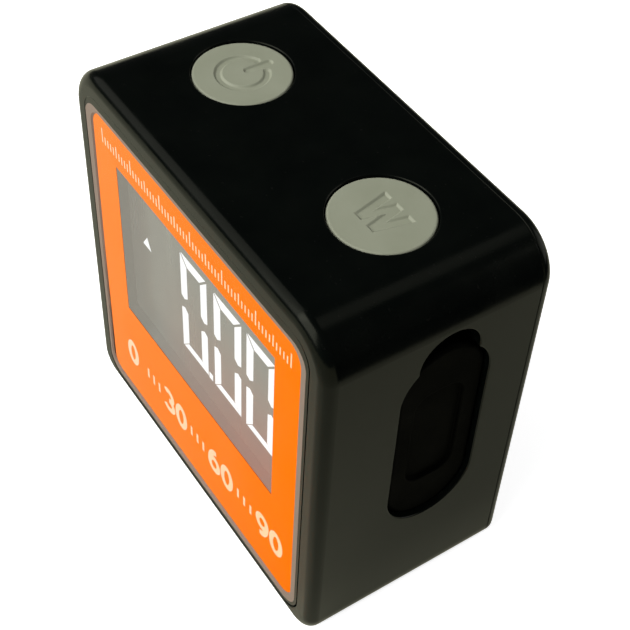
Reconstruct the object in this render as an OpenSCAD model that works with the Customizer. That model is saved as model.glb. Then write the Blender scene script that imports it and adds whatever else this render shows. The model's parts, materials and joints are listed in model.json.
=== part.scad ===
// Pocket digital angle gauge: a moulded case with a display behind a coloured face, two round
// push buttons on top, a covered charging socket in the right end and magnets in the base.
// Millimetres. +Z is up, the display faces -Y, and the origin is the middle of the base.

/* [Case] */
// Width of the case, end to end
case_w = 40; // [36:0.5:48]
// Height of the case, base to top
case_h = 40; // [36:0.5:48]
// Depth of the case, front lip to back
case_d = 21.6; // [19.4:0.2:28]
// Thickness of the end walls
end_wall = 2.6; // [2.4:0.1:3]
// Thickness of the top wall
top_wall = 2; // [1.4:0.1:2.4]
// Thickness of the base
base_wall = 2.4; // [2:0.1:3]
// Thickness of the front wall behind the lens
face_wall = 1.2; // [0.9:0.1:1.6]
// Outer corner radius at the top
top_corner_r = 4.5; // [3:0.1:6]
// Outer corner radius at the base
base_corner_r = 2.7; // [2:0.1:4]
// Inner corner radius of the cavity
cavity_r = 1.8; // [0.6:0.1:2.4]
// Rounding of the front edge
front_edge_r = 1.2; // [0.4:0.1:1.4]

/* [Rear cover] */
// Thickness of the rear cover
cover_t = 1.1; // [1.05:0.05:1.6]
// Rounding of the back edge
back_edge_r = 1; // [0.3:0.05:1]
// Height of the locating ribs inside the cover
rib_h = 1.2; // [0.6:0.1:2]
// Thickness of the locating ribs
rib_t = 1; // [0.6:0.1:1.4]
// Radius of the case bosses that take the cover screws
boss_r = 2; // [1.8:0.1:2.4]
// Depth of those bosses in front of the cover
boss_depth = 3.6; // [3:0.1:3.8]

/* [Face] */
// Width of the lip beside the lens
lip_side = 2.25; // [2:0.05:3]
// Width of the lip above the lens
lip_top = 2.3; // [2:0.1:3]
// Width of the lip below the lens
lip_base = 1.45; // [1.42:0.01:2.4]
// Corner radius of the lens
lens_r = 2.2; // [1.4:0.1:3]
// Thickness of the lens
lens_t = 0.15; // [0.1:0.05:0.6]
// Depth of the lens below the lip
lens_recess = 0.05; // [0.05:0.05:0.3]
// Thickness of the printed film
print_t = 0.15; // [0.1:0.05:0.3]
// Distance of the print from the edge of the lens
print_inset = 0.65; // [0.4:0.05:1]
// Corner radius of the print
print_r = 1.5; // [0.8:0.1:2]
// Thickness of the adhesive frame
tape_t = 0.2; // [0.1:0.05:0.3]
// Distance of the adhesive frame from the edge of the lens
tape_inset = 0.1; // [0.05:0.05:0.5]
// Corner radius of the adhesive frame
tape_r = 2.1; // [1:0.1:2.6]

/* [Display] */
// Distance of the window in the print from each end of the case
window_side = 7.05; // [7:0.05:9]
// Distance of the window from the top of the case
window_drop = 7.6; // [7.6:0.1:10]
// Height of the window's lower edge above the base
window_z = 14.4; // [14:0.1:14.6]
// Reach of the glass past the window at each side
glass_side = 2.2; // [1.6:0.1:2.3]
// Reach of the glass past the window above
glass_top = 1; // [0.7:0.1:1.1]
// Reach of the glass past the window below
glass_base = 3.4; // [3:0.1:3.6]
// Thickness of the display glass
glass_t = 1.8; // [1.2:0.1:2.2]
// Depth of the glass behind the lens seat
glass_setback = 0.75; // [0.5:0.05:1]
// Thickness of the light guide
backlight_t = 2.4; // [1.5:0.1:3]
// Wall of the display frame round the glass
frame_wall = 0.9; // [0.7:0.05:1]
// Thickness of the display frame's floor
frame_floor = 0.8; // [0.6:0.1:1.2]
// Space for parts between the display frame's floor and the board
part_space = 2.95; // [1.8:0.05:3.2]
// Thickness of the rubber contact strip
strip_t = 1.4; // [1:0.1:1.5]
// Length of the rubber contact strip
strip_w = 25; // [20:0.5:27]

/* [Board] */
// Thickness of the main board
board_t = 1; // [0.8:0.1:1.2]
// Gap between the board's edges and the case
board_gap = 0.6; // [0.4:0.1:0.8]
// Distance of the lower board screws from the sides of the cavity
board_screw_inset = 3.8; // [3.4:0.1:5]
// Height of the lower board screws above the base
board_screw_z = 6.2; // [5.6:0.1:6.8]
// Radius of the posts that carry the board
post_r = 1.8; // [1.5:0.1:1.9]
// Side of the microcontroller
controller_w = 7; // [5:0.5:8]
// Side of the tilt sensor
sensor_w = 4; // [3:0.5:5]

/* [Buttons] */
// Diameter of a button
button_d = 8.75; // [7.5:0.05:9]
// Distance of a button's axis from the end of the case
button_inset = 9.7; // [9.5:0.05:10.5]
// Depth of the button's face below the top
button_sink = 0.1; // [0.05:0.05:0.3]
// Rounding of the button's rim
button_edge_r = 0.25; // [0.1:0.05:0.5]
// Reach of the button's flange under the top wall
flange_reach = 0.9; // [0.6:0.1:1]
// Thickness of the button's flange
flange_t = 0.8; // [0.6:0.1:1]
// Length of the button's stem below the flange
stem_h = 1; // [0.6:0.1:1.4]
// Travel of a button
button_travel = 0.35; // [0.2:0.05:0.5]
// Width of a switch
switch_w = 6; // [5:0.1:6.4]
// Height of a switch
switch_h = 3.4; // [3:0.1:4]
// Distance of the plunger's axis from the board
switch_axis = 1.25; // [1.2:0.05:1.6]
// Length of the plunger outside the switch
plunger_out = 0.9; // [0.7:0.1:1.4]
// Radius of the plunger
plunger_r = 0.9; // [0.6:0.05:0.95]

/* [Charging port] */
// Depth of the port's middle below the top of the case
port_drop = 17.6; // [16.6:0.1:17.9]
// Width of the cover's seat
seat_w = 8.84; // [8:0.02:9]
// Length of the cover's seat
seat_len = 21.3; // [20:0.1:22]
// Depth of the cover's seat
seat_depth = 1.6; // [1.3:0.05:1.7]
// Depth of the cover's face below the end of the case
cover_sink = 0.45; // [0.1:0.05:0.6]
// Radius of the fingernail notch
notch_r = 2.94; // [2.4:0.01:3.2]
// Height of the notch above the seat
notch_rise = 2.15; // [1.4:0.05:2.2]
// Depth of the notch
notch_depth = 1.9; // [1.75:0.05:2]
// Width of the opening for a plug
opening_w = 4.9; // [4.4:0.1:5.2]
// Length of the opening for a plug
opening_len = 11.4; // [10.4:0.1:11.6]
// Corner radius of that opening
opening_r = 1.6; // [0.8:0.1:2]
// Rounding of the cover's rim
rim_r = 0.5; // [0.1:0.05:0.6]
// Depth of the dent in the cover
dent_depth = 0.35; // [0.1:0.05:0.5]
// Height of the tether leg above the lower end of the seat
tether_rise = 2.2; // [2:0.1:2.4]
// Radius of the tether leg
tether_r = 0.8; // [0.6:0.05:0.9]
// Travel of the cover until its barb stops it
cover_travel = 6; // [4:0.5:6.5]
// Width of the charging socket's shell
socket_w = 8.94; // [7.5:0.02:9.2]
// Thickness of the charging socket's shell
socket_t = 3.2; // [2.6:0.05:3.3]
// Length of the charging socket
socket_len = 7.3; // [6:0.1:7.4]

/* [Battery] */
// Distance of the cell from the sides of the cavity
cell_side = 4.9; // [4.4:0.1:7]
// Space above the cell, for its leads
cell_drop = 8; // [7.6:0.1:12]
// Gap between the charging socket and the cell
cell_gap = 1.75; // [1.4:0.05:2.6]
// Height of the cell's lower edge above the base
cell_z = 10; // [9:0.5:10]
// Thickness of the tape behind the cell
cell_tape_t = 0.3; // [0.1:0.05:0.5]
// Radius of a battery lead
lead_r = 0.45; // [0.3:0.05:0.5]

/* [Base magnets] */
// Diameter of a magnet
magnet_d = 8; // [6:0.5:10]
// Thickness of a magnet
magnet_t = 1.5; // [1:0.1:1.6]
// Distance of a magnet's axis from the end of the case
magnet_inset = 9; // [7:0.1:11]
// Depth of the magnets below the base
magnet_sink = 0.12; // [0.05:0.01:0.2]

/* [Fits] */
// Gap round pieces that are set in place
seat_gap = 0.1; // [0.05:0.01:0.15]
// Gap round pieces that move
slide_gap = 0.12; // [0.08:0.01:0.15]
// Gap between a screw and its pilot hole
thread_gap = 0.03; // [0.02:0.01:0.05]

/* [Hidden] */
$fn = 64;
// Overshoot of a cut past the face that it opens
over = 1;
// Sink of a rib or post into the wall that it grows from
root = 0.3;

// Stations along Y, front to back
front_y = -case_d / 2;
lens_y = front_y + lens_recess;
print_y = lens_y + lens_t;
tape_y = print_y + print_t;
lens_seat_y = tape_y + tape_t;
face_back_y = lens_seat_y + face_wall;
glass_y = lens_seat_y + glass_setback;
backlight_y = glass_y + glass_t;
frame_floor_y = backlight_y + backlight_t;
frame_hollow_y = frame_floor_y + frame_floor;
board_y = frame_hollow_y + part_space;
board_back_y = board_y + board_t;
back_y = case_d / 2;
seam_y = back_y - cover_t;

// Cavity of the case
cavity_x = case_w / 2 - end_wall;
cavity_top = case_h - top_wall;

// Lens, print and glass, as half widths and lower and upper edges
lens_x = case_w / 2 - lip_side;
lens_top = case_h - lip_top;
print_x = lens_x - print_inset;
print_base = lip_base + print_inset;
print_top = lens_top - print_inset;
window_x = case_w / 2 - window_side;
window_top = case_h - window_drop;
glass_x = window_x + glass_side;
glass_base_z = window_z - glass_base;
glass_top_z = window_top + glass_top;
frame_x = glass_x + seat_gap + frame_wall;
frame_base_z = glass_base_z - seat_gap - frame_wall;
frame_top_z = glass_top_z + seat_gap + frame_wall;

// Contact strip under the display, and the light guide above it
strip_edge = 0.4;
strip_z = glass_base_z + strip_edge;
backlight_edge = 0.8;
backlight_z = strip_z + strip_t + backlight_edge;
backlight_x = glass_x - backlight_edge;
backlight_top = glass_top_z - backlight_edge;

// Buttons and switches, from the top wall down
button_x = case_w / 2 - button_inset;
button_y = board_back_y + switch_axis;
flange_gap = 0.25;
flange_z = cavity_top - flange_gap - flange_t;
stem_z = flange_z - stem_h;
switch_top = stem_z - plunger_out;
plunger_in = 1;
well_gap = 0.25;
board_edge = 0.15;
board_top = switch_top + board_edge;

// Charging port, from the right end inwards
port_y = board_back_y + socket_t / 2;
port_z = case_h - port_drop;
seat_x = case_w / 2 - seat_depth;
seat_base = port_z - seat_len / 2;
seat_top = port_z + seat_len / 2;
cover_back_x = seat_x + slide_gap;
cover_face_x = case_w / 2 - cover_sink;
notch_z = seat_top + notch_rise - notch_r;
tether_z = seat_base + tether_rise;
plug_gap = 0.3;
socket_setback = 0.4;
socket_x = cavity_x - socket_setback;
socket_wall = 0.3;
socket_block = 2;
barb_x = cavity_x - cover_travel - slide_gap;
barb_len = 1.4;
barb_reach = 0.45;
barb_r = tether_r + barb_reach;

// Screws
cover_screw_r = 0.8;
cover_head_r = 1.5;
cover_head_h = cover_head_r - cover_screw_r;
cover_head_sink = 0.05;
screw_tip_gap = 0.4;
cover_screw_len = boss_depth + cover_t - screw_tip_gap;
cover_screw_inset = 1.6;
cover_screw_places = [
    for (side = [-1, 1], z = [base_wall + cover_screw_inset, cavity_top - cover_screw_inset])
        [side * (cavity_x - cover_screw_inset), z]
];
board_screw_r = 0.6;
board_head_r = 1.3;
board_head_h = 0.8;
board_screw_len = 4.5;
post_bite = 0.2;
upper_post_z = cavity_top - post_r + post_bite;
board_screw_places = [
    [board_screw_inset - cavity_x, board_screw_z],
    [cavity_x - board_screw_inset, board_screw_z],
    [0, upper_post_z]
];

// Magnets in the base
magnet_x = case_w / 2 - magnet_inset;

// Battery, set against the rear cover
cell_back_y = seam_y - cell_tape_t;
cell_y = port_y + socket_t / 2 + cell_gap;
cell_x = cavity_x - cell_side;
cell_top = cavity_top - cell_drop;
lead_pitch = 1.6;
lead_bend_r = 1;
lead_z = cell_top + lead_bend_r;
connector_t = 2.6;
cell_corner_r = 1;

// Chips on the back of the board
controller_place = [-6, 17];
controller_t = 1.2;
sensor_place = [-8, 24.5];
sensor_t = 1;
charger_place = [6, 10];
charger_w = 3;
charger_t = 1;

case_colour = [0.05, 0.05, 0.05];
board_colour = [0.05, 0.25, 0.14];
chip_colour = [0.08, 0.08, 0.09];
steel_colour = [0.7, 0.7, 0.72];

// Extrudes an outline drawn in X and Z from y0 to y1
module along_y(y0, y1) {
    translate([0, y1, 0]) rotate([90, 0, 0]) linear_extrude(y1 - y0) children();
}

// Extrudes an outline drawn in Y and Z from x0 to x1
module along_x(x0, x1) {
    translate([x0, 0, 0]) rotate([90, 0, 90]) linear_extrude(x1 - x0) children();
}

// Cylinder along Y from y0 to y1 at a place [x, z]
module rod_y(place, r, y0, y1) {
    translate([place[0], y1, place[1]]) rotate([90, 0, 0]) cylinder(h = y1 - y0, r = r);
}

// Cylinder along X from x0 to x1 at y, z
module rod_x(y, z, r, x0, x1) {
    translate([x0, y, z]) rotate([0, 90, 0]) cylinder(h = x1 - x0, r = r);
}

// Box from one corner to the opposite one
module span_box(low, high) {
    translate(low) cube(high - low);
}

// Plate outline of half width hw from z0 to z1, corner radius r0 below and r1 above
module plate_outline(hw, z0, z1, r0, r1) {
    translate([-hw, z0 + r0]) square([2 * hw, z1 - z0 - r0 - r1]);
    translate([r0 - hw, z0]) square([2 * (hw - r0), z1 - z0 - r1]);
    translate([r1 - hw, z0 + r0]) square([2 * (hw - r1), z1 - z0 - r0]);
    for (side = [-1, 1]) {
        translate([side * (hw - r0), z0 + r0]) circle(r0);
        translate([side * (hw - r1), z1 - r1]) circle(r1);
    }
}

// Outline with round ends, w wide and len long, standing on end
module stadium_outline(w, len) {
    for (end = [-1, 1]) translate([0, end * (len - w) / 2]) circle(w / 2);
    translate([-w / 2, -(len - w) / 2]) square([w, len - w]);
}

// Section of a rounded edge: run long and f deep, its near corner rounded by radius f
module edge_section(run, f) {
    translate([f, 0]) square([run - f, f]);
    intersection() {
        translate([f, f]) circle(f);
        translate([-f, -f]) square(2 * f);
    }
}

// Bar with a rounded edge on the lower side of a plate, between corners of radius r
module edge_bar(hw, r, f) {
    translate([hw - r, 0, 0]) rotate([0, -90, 0]) linear_extrude(2 * (hw - r)) edge_section(r, f);
}

// Half section of a disc of radius r, as thick as the radius f of its rounded rim
module rim_section(r, f) {
    square([r - f, f]);
    translate([r - f, f]) intersection() {
        circle(f);
        translate([0, -f]) square(f);
    }
}

// Quarter puck with a rounded edge in the lower right corner of a plate
module edge_corner(hw, r, f) {
    translate([hw - r, 0, r]) rotate([-90, 0, 0]) rotate_extrude(angle = 90) rim_section(r, f);
}

// Slab with round ends, w wide, len long and f thick, the rim of its +X face rounded by radius f
module rim_slab(w, len, f) {
    straight = len - w;
    translate([0, 0, -straight / 2]) linear_extrude(straight) rotate(90)
        for (side = [0, 1]) mirror([side, 0]) rim_section(w / 2, f);
    for (end = [0, 1]) mirror([0, 0, end]) translate([0, 0, straight / 2]) rotate([90, 0, -90])
        rotate_extrude(angle = 180) rim_section(w / 2, f);
}

// Slab of the case outline from y = 0 to f, with its edge at y = 0 rounded by radius f
module edge_slab(f) {
    hw = case_w / 2;
    side_run = min(base_corner_r, top_corner_r);
    straight = case_h - base_corner_r - top_corner_r;
    span_box([side_run - hw, 0, base_corner_r], [hw - side_run, f, base_corner_r + straight]);
    edge_bar(hw, base_corner_r, f);
    translate([0, 0, case_h]) mirror([0, 0, 1]) edge_bar(hw, top_corner_r, f);
    for (side = [0, 1]) mirror([side, 0, 0]) {
        translate([-hw, 0, base_corner_r]) linear_extrude(straight) edge_section(side_run, f);
        edge_corner(hw, base_corner_r, f);
        translate([0, 0, case_h]) mirror([0, 0, 1]) edge_corner(hw, top_corner_r, f);
    }
}

// Outline of the case seen from the front
module case_outline() {
    plate_outline(case_w / 2, 0, case_h, base_corner_r, top_corner_r);
}

// Outline of the display frame
module frame_outline() {
    translate([-frame_x, frame_base_z]) square([2 * frame_x, frame_top_z - frame_base_z]);
}

// Outline of the display glass with a gap round it
module glass_outline(gap) {
    translate([-glass_x - gap, glass_base_z - gap])
        square([2 * (glass_x + gap), glass_top_z - glass_base_z + 2 * gap]);
}

// Cut for the charging port: cover seat, fingernail notch, plug opening and tether hole
module port_cut() {
    end_x = case_w / 2 + over;
    along_x(seat_x, end_x) translate([port_y, port_z]) stadium_outline(seat_w, seat_len);
    rod_x(port_y, notch_z, notch_r, case_w / 2 - notch_depth, end_x);
    along_x(cavity_x - over, seat_x + over) translate([port_y, 0])
        plate_outline(opening_w / 2, port_z - opening_len / 2, port_z + opening_len / 2,
                      opening_r, opening_r);
    rod_x(port_y, tether_z, tether_r + slide_gap, cavity_x - over, seat_x + over);
}

module front_case() {
    color(case_colour) difference() {
        union() {
            difference() {
                union() {
                    translate([0, front_y, 0]) edge_slab(front_edge_r);
                    along_y(front_y + front_edge_r, seam_y) case_outline();
                }
                along_y(face_back_y, seam_y + over)
                    plate_outline(cavity_x, base_wall, cavity_top, cavity_r, cavity_r);
            }
            for (place = cover_screw_places) rod_y(place, boss_r, seam_y - boss_depth, seam_y);
            for (place = board_screw_places) rod_y(place, post_r, face_back_y - root, board_y);
        }
        along_y(front_y - over, lens_seat_y)
            plate_outline(lens_x + seat_gap, lip_base - seat_gap, lens_top + seat_gap, lens_r, lens_r);
        along_y(lens_seat_y - over, face_back_y + over) glass_outline(2 * seat_gap);
        for (side = [-1, 1]) {
            translate([side * button_x, button_y, cavity_top - over])
                cylinder(h = top_wall + 2 * over, r = button_d / 2 + slide_gap);
            translate([side * magnet_x, 0, -over])
                cylinder(h = magnet_t + magnet_sink + over, r = magnet_d / 2 + seat_gap);
        }
        port_cut();
        for (place = cover_screw_places)
            rod_y(place, cover_screw_r + thread_gap, back_y - cover_screw_len - root, seam_y + over);
        for (place = board_screw_places)
            rod_y(place, board_screw_r + thread_gap, board_back_y - board_screw_len - root, board_y + over);
    }
}

module rear_cover() {
    rib_x = cavity_x - seat_gap;
    rib_top = cavity_top - seat_gap;
    rib_base = base_wall + seat_gap;
    rib_gap = 0.4;
    rib_end = cover_screw_inset + boss_r + rib_gap;
    color(case_colour) difference() {
        union() {
            translate([0, back_y, 0]) mirror([0, 1, 0]) edge_slab(back_edge_r);
            along_y(seam_y, back_y - back_edge_r) case_outline();
            for (side = [0, 1]) mirror([side, 0, 0])
                span_box([rib_x - rib_t, seam_y - rib_h, rib_base + rib_end],
                         [rib_x, seam_y + root, rib_top - rib_end]);
            for (z = [rib_base, rib_top - rib_t])
                span_box([rib_end - rib_x, seam_y - rib_h, z],
                         [rib_x - rib_end, seam_y + root, z + rib_t]);
        }
        for (place = cover_screw_places) {
            rod_y(place, cover_screw_r + seat_gap, seam_y - over, back_y + over);
            translate([place[0], back_y - cover_head_sink - cover_head_h, place[1]]) rotate([-90, 0, 0])
                cylinder(h = cover_head_h, r1 = cover_screw_r + seat_gap, r2 = cover_head_r + seat_gap);
            rod_y(place, cover_head_r + seat_gap, back_y - cover_head_sink, back_y + over);
        }
    }
}

module front_lens() {
    color([0.8, 0.85, 0.88, 0.3]) along_y(lens_y, print_y)
        plate_outline(lens_x, lip_base, lens_top, lens_r, lens_r);
}

module face_print() {
    color([1, 0.42, 0.04]) along_y(print_y, tape_y) difference() {
        plate_outline(print_x, print_base, print_top, print_r, print_r);
        translate([-window_x, window_z]) square([2 * window_x, window_top - window_z]);
    }
}

module lens_tape() {
    color([0.35, 0.3, 0.28]) along_y(tape_y, lens_seat_y) difference() {
        plate_outline(lens_x - tape_inset, lip_base + tape_inset, lens_top - tape_inset, tape_r, tape_r);
        glass_outline(2 * seat_gap);
    }
}

module lcd_glass() {
    color([0.3, 0.31, 0.31]) along_y(glass_y, backlight_y) glass_outline(0);
}

// Light guide with a row of light chips along its lower edge
module lcd_backlight() {
    chip_count = 4;
    chip_w = 2;
    chip_step = 6;
    chip_h = 0.4;
    color([0.95, 0.95, 0.92]) {
        span_box([-backlight_x, backlight_y, backlight_z], [backlight_x, frame_floor_y, backlight_top]);
        for (i = [0 : chip_count - 1]) {
            x = (i - (chip_count - 1) / 2) * chip_step;
            span_box([x - chip_w / 2, backlight_y + backlight_t / 4, backlight_z - chip_h],
                     [x + chip_w / 2, frame_floor_y - backlight_t / 4, backlight_z + root]);
        }
    }
}

// Holder that stands on the board, with pockets for the glass, the light guide and the strip
module lcd_frame() {
    hollow_edge = 1.1;
    chip_room = 0.6;
    color([0.92, 0.92, 0.9]) difference() {
        along_y(face_back_y, board_y) frame_outline();
        along_y(face_back_y - over, backlight_y) glass_outline(seat_gap);
        span_box([-backlight_x - seat_gap, backlight_y - root, backlight_z - chip_room],
                 [backlight_x + seat_gap, frame_floor_y, backlight_top + seat_gap]);
        span_box([-strip_w / 2 - seat_gap, backlight_y - root, strip_z - seat_gap],
                 [strip_w / 2 + seat_gap, board_y + over, strip_z + strip_t + seat_gap]);
        span_box([-frame_x + hollow_edge, frame_hollow_y, backlight_z + root],
                 [frame_x - hollow_edge, board_y + over, frame_top_z - hollow_edge]);
    }
}

module lcd_connector() {
    color([0.85, 0.6, 0.65])
        span_box([-strip_w / 2, backlight_y, strip_z], [strip_w / 2, board_y, strip_z + strip_t]);
}

module main_board() {
    tab_hw = 2.6;
    board_corner_r = 1;
    board_x = cavity_x - board_gap;
    board_base = base_wall + board_gap;
    tab_top = cavity_top - board_gap / 2;
    color(board_colour) difference() {
        along_y(board_y, board_back_y) {
            plate_outline(board_x, board_base, board_top, board_corner_r, board_corner_r);
            translate([-tab_hw, board_screw_z]) square([2 * tab_hw, tab_top - board_screw_z]);
        }
        for (place = board_screw_places)
            rod_y(place, board_screw_r + 2 * seat_gap, board_y - over, board_back_y + over);
    }
}

// Flat chip on the back of the board, with short leads along two or four edges
module chip(place, w, t, leads, four_sided) {
    lead_len = 0.5;
    lead_w = 0.25;
    lead_t = 0.2;
    row_edge = 0.5;
    dot_inset = 0.8;
    dot_r = 0.35;
    dot_depth = 0.1;
    pitch = (w - 2 * row_edge) / (leads - 1);
    translate([place[0], board_back_y, place[1]]) color(chip_colour) {
        difference() {
            span_box([-w / 2, 0, -w / 2], [w / 2, t, w / 2]);
            rod_y([dot_inset - w / 2, w / 2 - dot_inset], dot_r, t - dot_depth, t + over);
        }
        for (turn = four_sided ? [0, 90, 180, 270] : [0, 180]) rotate([0, turn, 0])
            for (i = [0 : leads - 1]) {
                z = (i - (leads - 1) / 2) * pitch;
                span_box([w / 2 - root, 0, z - lead_w / 2], [w / 2 + lead_len, lead_t, z + lead_w / 2]);
            }
    }
}

module microcontroller() {
    chip(controller_place, controller_w, controller_t, 8, true);
}

module tilt_sensor() {
    chip(sensor_place, sensor_w, sensor_t, 6, false);
}

module charge_controller() {
    chip(charger_place, charger_w, charger_t, 4, false);
}

// Side-push switch on the back of the board, its plunger hole open at the top
module switch_body(x) {
    well = plunger_in + button_travel + well_gap;
    z = switch_top - switch_h;
    color([0.1, 0.1, 0.11]) difference() {
        span_box([x - switch_w / 2, board_back_y, z],
                 [x + switch_w / 2, board_back_y + 2 * switch_axis, switch_top]);
        translate([x, button_y, switch_top - well])
            cylinder(h = well + over, r = plunger_r + slide_gap);
    }
}

// Plunger of a switch, up to the button's stem
module switch_plunger(x) {
    color([0.85, 0.82, 0.75]) translate([x, button_y, switch_top - plunger_in])
        cylinder(h = plunger_in + plunger_out, r = plunger_r);
}

// Push button: a cap with a rounded rim, a flange under the top wall and a stem
module push_button(x) {
    cap_r = button_d / 2;
    cap_top = case_h - button_sink;
    stem_r = 1.5;
    color([0.53, 0.54, 0.47]) translate([x, button_y, 0]) {
        rotate_extrude() {
            square_up(cap_r - button_edge_r, flange_z, cap_top);
            square_up(cap_r, flange_z, cap_top - button_edge_r);
            square_up(cap_r + flange_reach, flange_z, flange_z + flange_t);
            square_up(stem_r, stem_z, flange_z + root);
            translate([cap_r - button_edge_r, cap_top - button_edge_r]) intersection() {
                circle(button_edge_r);
                square(2 * button_edge_r);
            }
        }
    }
}

// Half section of a disc of radius r from z0 to z1
module square_up(r, z0, z1) {
    translate([0, z0]) square([r, z1 - z0]);
}

module power_switch() {
    switch_body(-button_x);
}

module mode_switch() {
    switch_body(button_x);
}

module power_switch_plunger() {
    switch_plunger(-button_x);
}

module mode_switch_plunger() {
    switch_plunger(button_x);
}

module power_button() {
    push_button(-button_x);
}

module mode_button() {
    push_button(button_x);
}

// Outline of the socket's shell, shrunk by a wall
module socket_outline(wall) {
    shell_r = 1.2;
    translate([port_y, 0])
        plate_outline(socket_t / 2 - wall, port_z - socket_w / 2 + wall, port_z + socket_w / 2 - wall,
                      shell_r - wall, shell_r - wall);
}

module charge_socket_shell() {
    color(steel_colour) along_x(socket_x - socket_len, socket_x) difference() {
        socket_outline(0);
        socket_outline(socket_wall);
    }
}

// Insulating block at the back of the socket, with the contact tongue
module charge_socket_tongue() {
    tongue_w = 6.7;
    tongue_t = 0.7;
    tongue_sink = 0.8;
    back_x = socket_x - socket_len;
    color(chip_colour) {
        along_x(back_x, back_x + socket_block) socket_outline(socket_wall);
        span_box([back_x + socket_block - root, port_y - tongue_t / 2, port_z - tongue_w / 2],
                 [socket_x - tongue_sink, port_y + tongue_t / 2, port_z + tongue_w / 2]);
    }
}

// Rubber cover: dented plate with a rounded rim in its seat, plug in the opening and a barbed tether leg
module port_cover() {
    w = seat_w - 2 * slide_gap;
    len = seat_len - 2 * slide_gap;
    plug_hw = opening_w / 2 - slide_gap;
    plug_hl = opening_len / 2 - slide_gap;
    plug_r = opening_r - slide_gap;
    color([0.03, 0.03, 0.03]) {
        difference() {
            union() {
                along_x(cover_back_x, cover_face_x - rim_r) translate([port_y, port_z])
                    stadium_outline(w, len);
                translate([cover_face_x, port_y, port_z]) rim_slab(w, len, rim_r);
            }
            along_x(cover_face_x - dent_depth, cover_face_x + over) translate([port_y, 0])
                plate_outline(opening_w / 2, port_z - opening_len / 2, port_z + opening_len / 2,
                              opening_r, opening_r);
        }
        along_x(socket_x + plug_gap, cover_back_x + root) translate([port_y, 0])
            plate_outline(plug_hw, port_z - plug_hl, port_z + plug_hl, plug_r, plug_r);
        rod_x(port_y, tether_z, tether_r, barb_x - root, cover_back_x + root);
        translate([barb_x - barb_len, port_y, tether_z]) rotate([0, 90, 0])
            cylinder(h = barb_len, r1 = tether_r / 2, r2 = barb_r);
    }
}

module battery() {
    color([0.75, 0.76, 0.78]) along_y(cell_y, cell_back_y)
        plate_outline(cell_x, cell_z, cell_top, cell_corner_r, cell_corner_r);
}

module battery_tape() {
    tape_edge = 2;
    color([0.9, 0.88, 0.8]) along_y(cell_back_y, seam_y)
        plate_outline(cell_x - tape_edge, cell_z + tape_edge, cell_top - tape_edge,
                      cell_corner_r, cell_corner_r);
}

module battery_connector() {
    connector_w = 4.4;
    connector_h = 2.8;
    color([0.93, 0.9, 0.82])
        span_box([-connector_w / 2, board_back_y, lead_z - connector_h / 2],
                 [connector_w / 2, board_back_y + connector_t, lead_z + connector_h / 2]);
}

// Two leads from the top of the cell, bent forward into the connector
module battery_leads() {
    lead_y = (cell_y + cell_back_y) / 2;
    for (side = [-1, 1]) color(side < 0 ? [0.7, 0.06, 0.05] : [0.06, 0.06, 0.06]) {
        x = side * lead_pitch / 2;
        translate([x, lead_y - lead_bend_r, cell_top]) rotate([90, 0, 90])
            rotate_extrude(angle = 90) translate([lead_bend_r, 0]) circle(lead_r);
        rod_y([x, lead_z], lead_r, board_back_y + connector_t, lead_y - lead_bend_r);
    }
}

module base_magnets() {
    color([0.75, 0.74, 0.72]) for (side = [-1, 1])
        translate([side * magnet_x, 0, magnet_sink]) cylinder(h = magnet_t, r = magnet_d / 2);
}

// Cross recess in the head of a screw, opening towards +Y at face_y
module cross_recess(place, face_y, size, depth) {
    slot = size / 4;
    translate([place[0], face_y, place[1]]) for (turn = [0, 90]) rotate([0, turn, 0])
        span_box([-size / 2, -depth, -slot / 2], [size / 2, over, slot / 2]);
}

module board_screws() {
    head_y = board_back_y + board_head_h;
    color(steel_colour) for (place = board_screw_places) difference() {
        union() {
            rod_y(place, board_screw_r, board_back_y - board_screw_len, board_back_y + root);
            rod_y(place, board_head_r, board_back_y, head_y);
        }
        cross_recess(place, head_y, board_head_r, board_head_h / 2);
    }
}

module cover_screws() {
    head_y = back_y - cover_head_sink;
    color([0.16, 0.16, 0.17]) for (place = cover_screw_places) difference() {
        union() {
            rod_y(place, cover_screw_r, back_y - cover_screw_len, head_y - cover_head_h + root);
            translate([place[0], head_y - cover_head_h, place[1]]) rotate([-90, 0, 0])
                cylinder(h = cover_head_h, r1 = cover_screw_r, r2 = cover_head_r);
        }
        cross_recess(place, head_y, cover_head_r, cover_head_h / 2);
    }
}

front_case();
rear_cover();
front_lens();
face_print();
lens_tape();
lcd_glass();
lcd_backlight();
lcd_frame();
lcd_connector();
main_board();
microcontroller();
tilt_sensor();
charge_controller();
power_switch();
mode_switch();
power_switch_plunger();
mode_switch_plunger();
power_button();
mode_button();
charge_socket_shell();
charge_socket_tongue();
port_cover();
battery();
battery_tape();
battery_connector();
battery_leads();
base_magnets();
board_screws();
cover_screws();
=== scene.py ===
"""Looks of a pocket digital angle gauge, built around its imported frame."""

import json
import math

import bmesh
import bpy
import numpy as np
from mathutils import Matrix, Vector


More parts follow.
